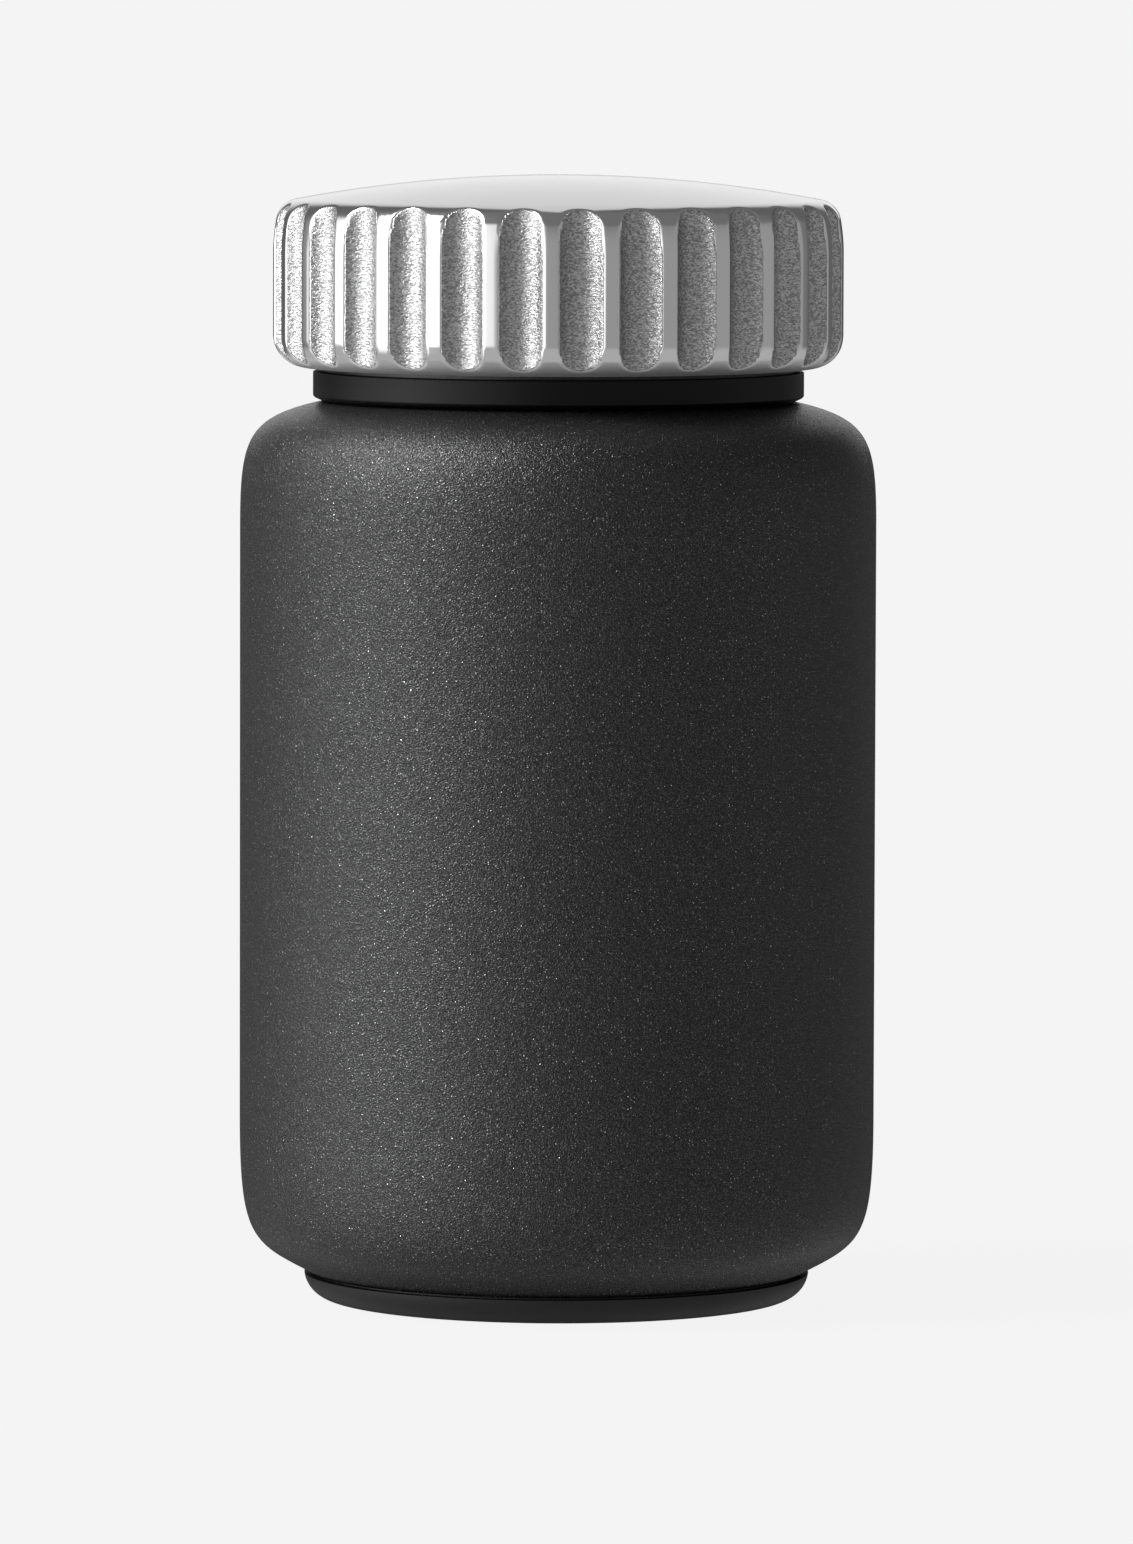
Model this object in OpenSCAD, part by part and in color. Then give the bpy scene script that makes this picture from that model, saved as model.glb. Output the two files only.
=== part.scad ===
// Table spice mill: a powder coated body with a turning, fluted metal head.
// Millimetres, +Z up. The origin is the centre of the foot, on the table.

/* [Body] */
// Outer diameter of the body
body_d = 66; // [65:0.5:70]
// Height from the table to the top of the dome
mill_h = 116.8; // [114:0.2:124]
// Wall of the body shell
shell_wall = 2; // [1.8:0.1:2.2]

/* [Head] */
// Diameter of the head over its lands
head_d = 59.2; // [58.6:0.2:60]
// Height from the head's lower face to the top of the dome
head_h = 19.9; // [19.5:0.1:21]
// Number of flutes round the head
flute_count = 30; // [24:1:32]
// Radius of the round cutter that makes a flute
flute_r = 2.55; // [2.3:0.05:2.6]
// Depth of a flute at its middle
flute_depth = 1.5; // [1.2:0.05:1.6]
// Angle from +X to the first flute
flute_turn = 10.5; // [0:0.5:12]

/* [Neck and foot] */
// Diameter of the neck ring
neck_d = 50.9; // [50.5:0.1:51.5]
// Height of the part of the neck ring that shows
neck_h = 3.1; // [2.8:0.1:3.6]
// Diameter of the foot ring
foot_d = 52.6; // [52.4:0.1:53.5]

/* [Grinder] */
// Outer diameter of the grinder housing
grinder_d = 34; // [33.8:0.1:34.2]
// Width across the flats of the square drive shaft
shaft_w = 5.5; // [5:0.1:5.6]
// Number of teeth in the burr ring
ring_teeth = 24; // [18:1:28]
// Number of teeth on the burr cone
cone_teeth = 18; // [12:1:20]
// Number of grip notches round the adjuster knob
knob_notches = 16; // [10:1:20]

/* [Hidden] */
$fn = 96;
cut = 1; // how far a cutting tool runs past the face that it cuts

// Heights of the joints between the outer pieces
run_gap = 0.45;
head_z = mill_h - head_h;
neck_z = head_z - run_gap;
rim_z = neck_z - neck_h;
seat_z = 2.86;

// Radii of the outer pieces and of the seats between them
slide_fit = 0.1;
body_r = body_d / 2;
neck_r = neck_d / 2;
foot_r = foot_d / 2;
head_r = head_d / 2;
neck_overhang = 1.1;
rim_r = neck_r - neck_overhang;
foot_seat_r = foot_r - 0.65;
foot_land_r = foot_r - 1.1;
foot_land_z = 1.5;
neck_bore_r = 21;
neck_barrel_r = 23;
carrier_r = 24.4;
collar_wall = 1.8;

// Corners of the body. Each leaves its joint at a slope, for a first reach, and is pulled
// on to the straight side, which starts at a rise or a drop from the joint.
low_slope = 29;
low_reach = 6.75;
low_pull = 2.64;
low_rise = 16.1;
high_slope = -12;
high_reach = 8.25;
high_pull = 3.8;
high_drop = 13.3;

// Head
head_roof = 4.8;
cavity_r = 25;
cavity_top = mill_h - head_roof;
cavity_bevel_w = 5;
cavity_bevel_h = 3.4;
side_bow_r = 20;
side_lean = 10;
crown_r = 2.6;
crown_end = 79.5;
side_top_z = mill_h - 8.1;
lower_corner_r = 3.4;
insert_t = 2;
insert_screw_at = 13.5;
insert_screw_r = 1.2;
boss_r = 3.2;
spigot_r = 20.6;
spigot_wall = 3;
spigot_z = head_z - 7.4;
step_z = head_z + 0.1;
seal_z = spigot_z + 3;
seal_wire_r = 0.9;
seal_fit = 0.12;
seal_r = neck_bore_r - seal_fit - seal_wire_r;
hub_r = 7.5;
hub_low = head_z - 5;
hub_top = head_z + 11;
socket_w = shaft_w + 2 * slide_fit;
hairpin_z = head_z + 7;
hairpin_r = 0.5;
hairpin_fit = 0.05;
hairpin_at = shaft_w / 2 + hairpin_r + hairpin_fit;
slip_t = 0.5;
slip_fit = 0.5;

// Grinder, from the table up
flange_z = 1;
flange_t = 1.6;
flange_r = 21.5;
carrier_floor_z = flange_z + flange_t;
housing_r = grinder_d / 2;
housing_seat_r = housing_r + slide_fit;
flange_seat_r = flange_r + slide_fit;
burr_seat_r = housing_r - 3;
burr_z = 7;
burr_h = 8;
ledge_z = burr_z + burr_h;
housing_top = 28;
spider_z = housing_top - 3.5;
spider_t = 3;
bush_r = 6;
bush_bore_r = 5;
sleeve_r = bush_bore_r - 0.05;
stop_z = 16.8;
stop_t = 1.2;
housing_screw_at = 19.2;
housing_screw_r = 1;
screw_head_r = 1.9;
knob_z = 0.6;
knob_t = 1.8;
knob_r = 8.2;
stem_r = 4.4;
bridge_z = 3.5;
bridge_t = 2.3;
bridge_hub_r = 6.6;
bridge_ring_r = 12.9;
ball_r = 1.25;
ball_z = 6.3;
ball_fit = 0.05;
rotor_z = ball_z + ball_fit;
cone_z = 7.3;
core_r = 6.1;
pin_r = 2.5;
vane_z = 16.2;
vane_h = 3.6;
spring_z = vane_z + vane_h;
washer_t = 0.5;
shaft_z = 9.2;
shaft_top = head_z + 10;
clip_t = 0.6;
sleeve_top = housing_top + 1;

// Hopper
liner_r = 22.6;
liner_wall = 1.2;
liner_top = rim_z - 8.5;
cone_foot_z = housing_top - 0.8;
cone_rise = 5;

// n + 1 points on a circle of radius r round (x, z), from angle a to angle b
function arc(x, z, r, a, b, n) =
    [for (i = [0:n]) [x + r * cos(a + (b - a) * i / n), z + r * sin(a + (b - a) * i / n)]];

// n + 1 points on the cubic curve that the four points a, b, c and d control
function bezier(a, b, c, d, n) =
    [for (i = [0:n]) let (t = i / n, u = 1 - t)
        u * u * u * a + 3 * u * u * t * b + 3 * u * t * t * c + t * t * t * d];

// The point at distance r from p, at angle a above the horizontal
function beyond(p, r, a) = [p[0] + r * cos(a), p[1] + r * sin(a)];

// The points but for the first, for a curve that starts where the one before it ends
function onward(points) = [for (i = [1:len(points) - 1]) points[i]];

module turned(points) {
    rotate_extrude() polygon(points);
}

module tube(r_out, r_in, z, h) {
    difference() {
        translate([0, 0, z]) cylinder(r = r_out, h = h);
        translate([0, 0, z - cut]) cylinder(r = r_in, h = h + 2 * cut);
    }
}

// Puts three copies of its children round the axis, at radius r
module three_round(r, first = 30) {
    for (i = [0:2])
        rotate([0, 0, first + 120 * i]) translate([r, 0, 0]) children();
}

module square_bar(w, z, h) {
    translate([-w / 2, -w / 2, z]) cube([w, w, h]);
}

// ---- Head ----

// Outline of the head: lower corner, slightly bowed side, crown and dome
bow_end = beyond([head_r - side_bow_r, side_top_z], side_bow_r, side_lean);
crown_mid = beyond(bow_end, -crown_r, side_lean);
dome_edge = beyond(crown_mid, crown_r, crown_end);
dome_rise = mill_h - dome_edge[1];
dome_r = (pow(dome_edge[0], 2) + pow(dome_rise, 2)) / (2 * dome_rise);
dome_slope = asin(dome_edge[0] / dome_r);
head_outline = concat(
    [[cavity_r, head_z]],
    arc(head_r - lower_corner_r, head_z + lower_corner_r, lower_corner_r, -90, 0, 10),
    arc(head_r - side_bow_r, side_top_z, side_bow_r, 0, side_lean, 4),
    onward(arc(crown_mid[0], crown_mid[1], crown_r, side_lean, crown_end, 9)),
    onward(arc(0, mill_h - dome_r, dome_r, 90 - dome_slope, 90, 12)));
cavity_outline = [
    [0, cavity_top],
    [cavity_r - cavity_bevel_w, cavity_top],
    [cavity_r, cavity_top - cavity_bevel_h]];

module grip_head() {
    flute_at = head_r - flute_depth + flute_r;
    color([0.80, 0.80, 0.80]) {
        difference() {
            turned(concat(head_outline, cavity_outline));
            for (i = [0:flute_count - 1])
                rotate([0, 0, flute_turn + 360 * i / flute_count])
                    translate([flute_at, 0, head_z - cut])
                        cylinder(r = flute_r, h = head_h + 2 * cut);
        }
        three_round(insert_screw_at) difference() {
            translate([0, 0, head_z + insert_t])
                cylinder(r = boss_r, h = cavity_top + cut - head_z - insert_t);
            translate([0, 0, head_z])
                cylinder(r = insert_screw_r, h = head_h / 2);
        }
    }
}

// Plug that closes the head, takes the shaft and turns in the neck ring
module head_insert() {
    groove_h = 2.1;
    rib_t = 1.4;
    rib_low_r = hub_r - 1;
    rib_high_r = spigot_r - spigot_wall + 1;
    color([0.12, 0.12, 0.12]) difference() {
        union() {
            translate([0, 0, head_z]) cylinder(r = cavity_r, h = insert_t);
            tube(spigot_r, spigot_r - spigot_wall, spigot_z, head_z - spigot_z + insert_t / 2);
            translate([0, 0, hub_low]) cylinder(r = hub_r, h = hub_top - hub_low);
            for (i = [0:2])
                rotate([0, 0, 90 + 120 * i])
                    translate([rib_low_r, -rib_t / 2, hub_low])
                        cube([rib_high_r - rib_low_r, rib_t, head_z - hub_low + cut]);
        }
        square_bar(socket_w, hub_low - cut, hub_top - hub_low + 2 * cut);
        tube(spigot_r + cut, seal_r - seal_wire_r, seal_z - groove_h / 2, groove_h);
        // the slip ring turns in this step
        tube(cavity_r + cut, spigot_r, step_z - cut, cut);
        three_round(insert_screw_at)
            translate([0, 0, head_z - cut])
                cylinder(r = insert_screw_r + slide_fit, h = insert_t + 2 * cut);
        for (side = [-1, 1])
            translate([-hub_r - cut, side * hairpin_at, hairpin_z])
                rotate([0, 90, 0])
                    cylinder(r = hairpin_r + hairpin_fit, h = 2 * (hub_r + cut));
    }
}

module insert_screws() {
    head_t = 1.6;
    head_rad = 2.3;
    shank_h = 9;
    slot_w = 0.7;
    slot_l = 2.76;
    slot_t = 0.9;
    color([0.62, 0.63, 0.65]) three_round(insert_screw_at) difference() {
        union() {
            translate([0, 0, head_z - head_t]) cylinder(r = head_rad, h = head_t);
            translate([0, 0, head_z]) cylinder(r = insert_screw_r, h = shank_h);
        }
        for (turn = [0, 90])
            rotate([0, 0, turn])
                translate([-slot_l / 2, -slot_w / 2, head_z - head_t - cut])
                    cube([slot_l, slot_w, slot_t + cut]);
    }
}

// Hairpin of round wire whose two legs press on the shaft's flats
module socket_spring() {
    leg = 8.4;
    color([0.70, 0.71, 0.73]) {
        for (side = [-1, 1])
            translate([-leg, side * hairpin_at, hairpin_z])
                rotate([0, 90, 0])
                    cylinder(r = hairpin_r, h = 2 * leg);
        translate([leg, 0, hairpin_z])
            rotate([0, 0, -90])
                rotate_extrude(angle = 180)
                    translate([hairpin_at, 0]) circle(r = hairpin_r, $fn = 24);
    }
}

module head_seal() {
    color([0.20, 0.20, 0.20])
        translate([0, 0, seal_z])
            rotate_extrude() translate([seal_r, 0]) circle(r = seal_wire_r, $fn = 32);
}

// Washer that the head rests and turns on
module slip_ring() {
    color([0.11, 0.11, 0.11])
        tube(cavity_r - slip_fit, spigot_r + slip_fit, step_z - slip_t, slip_t);
}

// ---- Body ----

module neck_ring() {
    edge = 0.25;
    lip_w = 0.2;
    lip_low = rim_z + 0.4;
    lip_high = rim_z + 0.6;
    ledge_r = 19.6;
    ledge_t = 2;
    color([0.10, 0.10, 0.10]) turned([
        [ledge_r, liner_top],
        [neck_barrel_r, liner_top],
        [neck_barrel_r, rim_z],
        [rim_r, rim_z],
        [neck_r - lip_w, lip_low],
        [neck_r, lip_high],
        [neck_r, neck_z - edge],
        [neck_r - edge, neck_z],
        [neck_bore_r, neck_z],
        [neck_bore_r, liner_top + ledge_t],
        [ledge_r, liner_top + ledge_t]]);
}

// The corners tighten gently out of the straight side, so each is one cubic curve
lower_corner = bezier(
    [foot_seat_r, seat_z], beyond([foot_seat_r, seat_z], low_reach, low_slope),
    [body_r, seat_z + low_pull], [body_r, seat_z + low_rise], 16);
upper_corner = bezier(
    [body_r, rim_z - high_drop], [body_r, rim_z - high_pull],
    beyond([rim_r, rim_z], high_reach, high_slope), [rim_r, rim_z], 16);

module body_shell() {
    inner_r = body_r - shell_wall;
    foot_collar_r = carrier_r + collar_wall;
    neck_collar_r = neck_barrel_r + collar_wall;
    foot_collar_h = 6.1;
    neck_collar_h = 6.3;
    inner_low = seat_z + 2.9;
    inner_high = rim_z - 2.35;
    inner_low_reach = 4.6;
    inner_low_pull = 5.3;
    inner_high_reach = 6;
    inner_high_pull = 5.8;
    color([0.14, 0.14, 0.14]) turned(concat(
        [[carrier_r, seat_z]],
        lower_corner,
        upper_corner,
        [[neck_barrel_r, rim_z],
         [neck_barrel_r, rim_z - neck_collar_h],
         [neck_collar_r, rim_z - neck_collar_h]],
        bezier([neck_collar_r, inner_high],
               beyond([neck_collar_r, inner_high], inner_high_reach, high_slope),
               [inner_r, rim_z - inner_high_pull], [inner_r, rim_z - high_drop], 12),
        bezier([inner_r, seat_z + low_rise], [inner_r, seat_z + inner_low_pull],
               beyond([foot_collar_r, inner_low], inner_low_reach, low_slope),
               [foot_collar_r, inner_low], 12),
        [[foot_collar_r, seat_z + foot_collar_h],
         [carrier_r, seat_z + foot_collar_h]]));
}

// Food safe tube that holds the spice, with a funnel down to the grinder
module hopper_liner() {
    collar_z = stop_z + stop_t;
    collar_r = housing_seat_r + 1.3;
    cone_top_z = cone_foot_z + cone_rise;
    inside_r = liner_r - liner_wall;
    color([0.80, 0.82, 0.84]) turned([
        [housing_seat_r, collar_z],
        [collar_r, collar_z],
        [collar_r, cone_foot_z],
        [liner_r, cone_top_z],
        [liner_r, liner_top],
        [inside_r, liner_top],
        [inside_r, cone_top_z + liner_wall / 2],
        [housing_seat_r, housing_top + slide_fit]]);
}

// Plastic floor, pressed into the body, that carries the foot and the grinder
module base_carrier() {
    floor_top = carrier_floor_z + 2.4;
    barrel_wall = 1.5;
    barrel_top = 11;
    boss_top = 10;
    color([0.13, 0.13, 0.13]) difference() {
        union() {
            turned([
                [housing_seat_r, carrier_floor_z],
                [flange_seat_r, carrier_floor_z],
                [flange_seat_r, foot_land_z],
                [foot_land_r, foot_land_z],
                [foot_land_r, seat_z],
                [carrier_r, seat_z],
                [carrier_r, barrel_top],
                [carrier_r - barrel_wall, barrel_top],
                [carrier_r - barrel_wall, floor_top],
                [housing_seat_r, floor_top]]);
            three_round(housing_screw_at)
                translate([0, 0, carrier_floor_z])
                    cylinder(r = screw_head_r, h = boss_top - carrier_floor_z);
        }
        three_round(housing_screw_at)
            translate([0, 0, carrier_floor_z - cut])
                cylinder(r = housing_screw_r, h = boss_top - carrier_floor_z);
    }
}

module foot_ring() {
    round_r = 3;
    lip_z = 2.66;
    lip_angle = -asin((round_r - lip_z) / round_r);
    color([0.09, 0.09, 0.09]) turned(concat(
        [[flange_seat_r, 0]],
        arc(foot_r - round_r, round_r, round_r, -90, lip_angle, 12),
        [[foot_land_r, lip_z],
         [foot_land_r, foot_land_z],
         [flange_seat_r, foot_land_z]]));
}

// ---- Grinder ----

module grinder_housing() {
    wall = 1.5;
    stop_r = housing_r + 1.4;
    inside_r = housing_r - wall;
    throat_r = burr_seat_r - 1.6;
    throat_low_z = ledge_z + 0.8;
    throat_high_z = ledge_z + 4;
    arm_w = 3;
    arm_low_r = bush_r + 0.5;
    arm_high_r = inside_r + 0.5;
    hub_rad = bush_r + 1.6;
    color([0.16, 0.16, 0.17]) difference() {
        union() {
            turned([
                [burr_seat_r, flange_z],
                [flange_r, flange_z],
                [flange_r, carrier_floor_z],
                [housing_r, carrier_floor_z],
                [housing_r, stop_z],
                [stop_r, stop_z],
                [stop_r, stop_z + stop_t],
                [housing_r, stop_z + stop_t],
                [housing_r, housing_top],
                [inside_r, housing_top],
                [inside_r, throat_high_z],
                [throat_r, throat_low_z],
                [throat_r, ledge_z],
                [burr_seat_r, ledge_z]]);
            tube(hub_rad, bush_r, spider_z, spider_t);
            for (i = [0:2])
                rotate([0, 0, 90 + 120 * i])
                    translate([arm_low_r, -arm_w / 2, spider_z])
                        cube([arm_high_r - arm_low_r, arm_w, spider_t]);
        }
        three_round(housing_screw_at) {
            translate([0, 0, flange_z - cut])
                cylinder(r = housing_screw_r + slide_fit, h = flange_t + 2 * cut);
            translate([0, 0, flange_z])
                cylinder(r1 = screw_head_r, r2 = housing_screw_r, h = screw_head_r - housing_screw_r);
            translate([0, 0, flange_z - cut])
                cylinder(r = screw_head_r, h = cut);
        }
    }
}

module housing_screws() {
    shank_h = 7.5;
    hex_r = 0.8;
    hex_t = 0.8;
    color([0.62, 0.63, 0.65]) three_round(housing_screw_at) difference() {
        union() {
            translate([0, 0, flange_z])
                cylinder(r1 = screw_head_r, r2 = housing_screw_r, h = screw_head_r - housing_screw_r);
            translate([0, 0, flange_z + 0.5]) cylinder(r = housing_screw_r, h = shank_h);
        }
        translate([0, 0, flange_z - cut]) cylinder(r = hex_r, h = hex_t + cut, $fn = 6);
    }
}

module bearing_bush() {
    collar_t = 0.6;
    color([0.72, 0.58, 0.32]) {
        tube(bush_r, bush_bore_r, spider_z, spider_t + collar_t);
        tube(bush_r + 1.2, bush_bore_r, spider_z + spider_t, collar_t);
    }
}

module spring_washer() {
    color([0.70, 0.71, 0.73])
        tube(bush_r + 1.2, bush_bore_r + slide_fit, spider_z - washer_t, washer_t);
}

// Radius of the burr ring's bore at height z, and how fast it closes upwards
ring_low_r = 11.6;
burr_taper = 0.25;
function ring_bore_at(z) = ring_low_r - burr_taper * (z - burr_z);

// A four sided cutter that follows the burr's taper and slants round it
module tooth_cutter(r, z, h, size, slant) {
    translate([r, 0, z])
        rotate([slant, -atan(burr_taper), 0])
            translate([0, 0, -h])
                cylinder(r = size, h = 3 * h, $fn = 4);
}

module burr_ring() {
    tooth = 0.75;
    color([0.93, 0.92, 0.88]) difference() {
        turned([
            [ring_bore_at(burr_z), burr_z],
            [burr_seat_r, burr_z],
            [burr_seat_r, ledge_z],
            [ring_bore_at(ledge_z), ledge_z]]);
        for (i = [0:ring_teeth - 1])
            rotate([0, 0, 360 * i / ring_teeth])
                tooth_cutter(ring_low_r - burr_taper * burr_h / 2, burr_z + burr_h / 2,
                             burr_h, tooth, -12);
    }
}

module burr_cone() {
    grind_gap = 0.42;
    low_r = ring_low_r - grind_gap;
    top_r = core_r + 1.4;
    fine_h = 4.2;
    tooth = 0.95;
    tooth_out = 0.1;
    color([0.93, 0.92, 0.88]) difference() {
        turned([
            [core_r, cone_z],
            [low_r, cone_z],
            [low_r - burr_taper * fine_h, cone_z + fine_h],
            [top_r, vane_z],
            [core_r, vane_z]]);
        for (i = [0:cone_teeth - 1])
            rotate([0, 0, 360 * i / cone_teeth])
                tooth_cutter(low_r + tooth_out - burr_taper * fine_h / 2, cone_z + fine_h / 2,
                             vane_z - cone_z, tooth, 16);
    }
}

// Plastic hub that joins the burr cone to the shaft and pushes the spice down
module rotor_hub() {
    vane_t = 1.8;
    vane_r = 10.6;
    vane_rise = 0.4;
    collar_r = 6.9;
    color([0.20, 0.20, 0.21]) difference() {
        union() {
            turned([
                [0, cone_z],
                [core_r, cone_z],
                [core_r, vane_z],
                [collar_r, vane_z],
                [collar_r, spring_z],
                [sleeve_r, spring_z],
                [sleeve_r, sleeve_top],
                [0, sleeve_top]]);
            for (i = [0:2])
                rotate([0, 0, 120 * i])
                    translate([sleeve_r, -vane_t / 2, vane_z + vane_rise])
                        cube([vane_r - sleeve_r, vane_t, vane_h - 2 * vane_rise]);
        }
        square_bar(shaft_w, shaft_z, sleeve_top);
        translate([0, 0, cone_z - cut]) cylinder(r = pin_r, h = shaft_z - cone_z + cut);
    }
}

// Cap that is pressed into the hub from below and clamps the burr cone to it
module rotor_cap() {
    cap_r = 8.6;
    color([0.72, 0.73, 0.75]) difference() {
        union() {
            translate([0, 0, rotor_z]) cylinder(r = cap_r, h = cone_z - rotor_z);
            translate([0, 0, rotor_z]) cylinder(r = pin_r, h = shaft_z - rotor_z);
        }
        translate([0, 0, ball_z]) sphere(r = ball_r + ball_fit, $fn = 32);
    }
}

module drive_shaft() {
    point_h = 1.6;
    color([0.72, 0.73, 0.75]) {
        square_bar(shaft_w, shaft_z, shaft_top - point_h - shaft_z);
        intersection() {
            square_bar(shaft_w, shaft_top - point_h, point_h);
            translate([0, 0, shaft_top - point_h])
                cylinder(r1 = shaft_w * 0.75, r2 = shaft_w * 0.45, h = point_h);
        }
    }
}

// Spring lock washer, pushed down the shaft on to the hub
module shaft_clip() {
    clip_r = 6.4;
    prong_w = 1.2;
    prong_l = 2.4;
    color([0.70, 0.71, 0.73]) difference() {
        translate([0, 0, sleeve_top]) cylinder(r = clip_r, h = clip_t);
        square_bar(shaft_w, sleeve_top - cut, clip_t + 2 * cut);
        for (i = [0:3])
            rotate([0, 0, 45 + 90 * i])
                translate([shaft_w / 2, -prong_w / 2, sleeve_top - cut])
                    cube([prong_l, prong_w, clip_t + 2 * cut]);
    }
}

// Coil spring that keeps the burr cone down on the thrust ball
coil_wire_r = 0.35;
coil_r = 5.9;
coil_turns = 3;
coil_sides = 8;
coil_steps = 20;
coil_low = spring_z + coil_wire_r;
coil_high = spider_z - washer_t - coil_wire_r;
function coil_section(turn) = let (rise = coil_low + (coil_high - coil_low) * turn / coil_turns)
    [for (k = [0:coil_sides - 1]) let (b = 360 * k / coil_sides, r = coil_r + coil_wire_r * cos(b))
        [r * cos(360 * turn), r * sin(360 * turn), rise + coil_wire_r * sin(b)]];

module rotor_spring() {
    last = coil_turns * coil_steps;
    points = [for (i = [0:last]) each coil_section(i / coil_steps)];
    sides = [for (i = [0:last - 1]) for (k = [0:coil_sides - 1])
        let (a = i * coil_sides + k, b = i * coil_sides + (k + 1) % coil_sides)
            each [[a, b, b + coil_sides], [a, b + coil_sides, a + coil_sides]]];
    start = [for (k = [coil_sides - 1:-1:0]) k];
    end = [for (k = [0:coil_sides - 1]) last * coil_sides + k];
    color([0.70, 0.71, 0.73]) polyhedron(points, concat(sides, [start, end]));
}

// Bridge across the outlet: it holds the burr ring up and the adjuster turns in it
module outlet_bridge() {
    arm_w = 2.4;
    arm_low_r = stem_r + 1;
    arm_high_r = bridge_ring_r + 0.5;
    bore_r = stem_r + 0.08;
    color([0.18, 0.18, 0.19]) {
        tube(burr_seat_r, bridge_ring_r, bridge_z, burr_z - bridge_z);
        difference() {
            union() {
                translate([0, 0, bridge_z]) cylinder(r = bridge_hub_r, h = bridge_t);
                for (i = [0:2])
                    rotate([0, 0, 90 + 120 * i])
                        translate([arm_low_r, -arm_w / 2, bridge_z])
                            cube([arm_high_r - arm_low_r, arm_w, bridge_t]);
            }
            translate([0, 0, bridge_z - cut]) cylinder(r = bore_r, h = bridge_t + 2 * cut);
        }
    }
}

// Knob under the mill that sets how fine it grinds
module adjuster_knob() {
    bar_w = 3.2;
    dish_r = knob_r - 1.7;
    dish_h = 1.1;
    notch_r = 0.7;
    notch_at = knob_r + 0.25;
    stem_top = ball_z - 0.3;
    color([0.55, 0.56, 0.58]) difference() {
        union() {
            translate([0, 0, knob_z]) cylinder(r = knob_r, h = knob_t);
            translate([0, 0, knob_z]) cylinder(r = stem_r, h = stem_top - knob_z);
        }
        difference() {
            translate([0, 0, knob_z - cut]) cylinder(r = dish_r, h = dish_h + cut);
            translate([-knob_r, -bar_w / 2, knob_z - 2 * cut])
                cube([2 * knob_r, bar_w, dish_h + 3 * cut]);
        }
        for (i = [0:knob_notches - 1])
            rotate([0, 0, 360 * (i + 0.5) / knob_notches])
                translate([notch_at, 0, knob_z - cut])
                    cylinder(r = notch_r, h = knob_t + 2 * cut);
        translate([0, 0, ball_z]) sphere(r = ball_r + ball_fit, $fn = 32);
    }
}

module thrust_ball() {
    color([0.75, 0.76, 0.78]) translate([0, 0, ball_z]) sphere(r = ball_r, $fn = 32);
}

grip_head();
head_insert();
insert_screws();
socket_spring();
head_seal();
slip_ring();
neck_ring();
body_shell();
hopper_liner();
base_carrier();
foot_ring();
grinder_housing();
housing_screws();
bearing_bush();
spring_washer();
burr_ring();
outlet_bridge();
adjuster_knob();
thrust_ball();
drive_shaft();
rotor_hub();
rotor_cap();
burr_cone();
rotor_spring();
shaft_clip();
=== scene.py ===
"""A table spice mill: a powder coated body with a cast, fluted head that turns a ceramic grinder.

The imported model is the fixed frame. The pieces that show most are made here and stand for their CAD
nodes. The others keep their CAD shape and get their finish here. Everything is in metres.
"""

import math

import bmesh
import bpy
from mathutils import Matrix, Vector


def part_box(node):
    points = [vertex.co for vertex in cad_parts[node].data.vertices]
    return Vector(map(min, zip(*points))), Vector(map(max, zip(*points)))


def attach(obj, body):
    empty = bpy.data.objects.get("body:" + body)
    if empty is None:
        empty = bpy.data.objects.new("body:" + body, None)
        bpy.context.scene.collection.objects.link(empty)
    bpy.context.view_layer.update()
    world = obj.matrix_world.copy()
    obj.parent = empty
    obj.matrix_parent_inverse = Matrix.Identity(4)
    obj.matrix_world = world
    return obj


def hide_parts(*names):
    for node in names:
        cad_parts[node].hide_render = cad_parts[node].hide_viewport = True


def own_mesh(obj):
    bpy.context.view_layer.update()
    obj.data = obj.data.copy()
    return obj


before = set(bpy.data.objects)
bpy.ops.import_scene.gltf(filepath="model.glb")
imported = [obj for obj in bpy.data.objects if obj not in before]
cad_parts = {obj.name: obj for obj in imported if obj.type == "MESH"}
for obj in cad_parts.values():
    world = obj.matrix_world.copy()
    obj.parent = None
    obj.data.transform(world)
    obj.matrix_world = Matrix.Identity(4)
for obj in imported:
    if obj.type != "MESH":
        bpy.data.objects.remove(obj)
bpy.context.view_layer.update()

MM = 0.001
TURN = 2 * math.pi

# Steps round the axis, along a coil's turn and round its wire
SMOOTH_STEPS = 240
COLUMNS_PER_FLUTE = 26
COIL_STEPS = 64
WIRE_STEPS = 14

# Vertices closer than WELD are one, and edges that bend by more than SHARP degrees stay crisp
WELD = 0.001 * MM
SHARP = 40


# ---- Outlines: lists of (radius, height) ----

def arc(centre, radius, start, end, steps):
    """Points on a circle, from angle start to angle end, in degrees above the horizontal."""
    angles = [math.radians(start + (end - start) * i / steps) for i in range(steps + 1)]
    return [(centre[0] + radius * math.cos(a), centre[1] + radius * math.sin(a)) for a in angles]


def bezier(a, b, c, d, steps):
    """Points on the cubic curve that a, b, c and d control."""
    points = []
    for i in range(steps + 1):
        t = i / steps
        u = 1 - t
        weights = (u * u * u, 3 * u * u * t, 3 * u * t * t, t * t * t)
        points.append(tuple(sum(w * p[k] for w, p in zip(weights, (a, b, c, d))) for k in (0, 1)))
    return points


def beyond(point, distance, angle):
    """The point at a distance from another, at an angle in degrees above the horizontal."""
    a = math.radians(angle)
    return (point[0] + distance * math.cos(a), point[1] + distance * math.sin(a))


def between(start, end, share):
    """The point that is a share of the way from start to end."""
    return tuple(a + (b - a) * share for a, b in zip(start, end))


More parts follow.
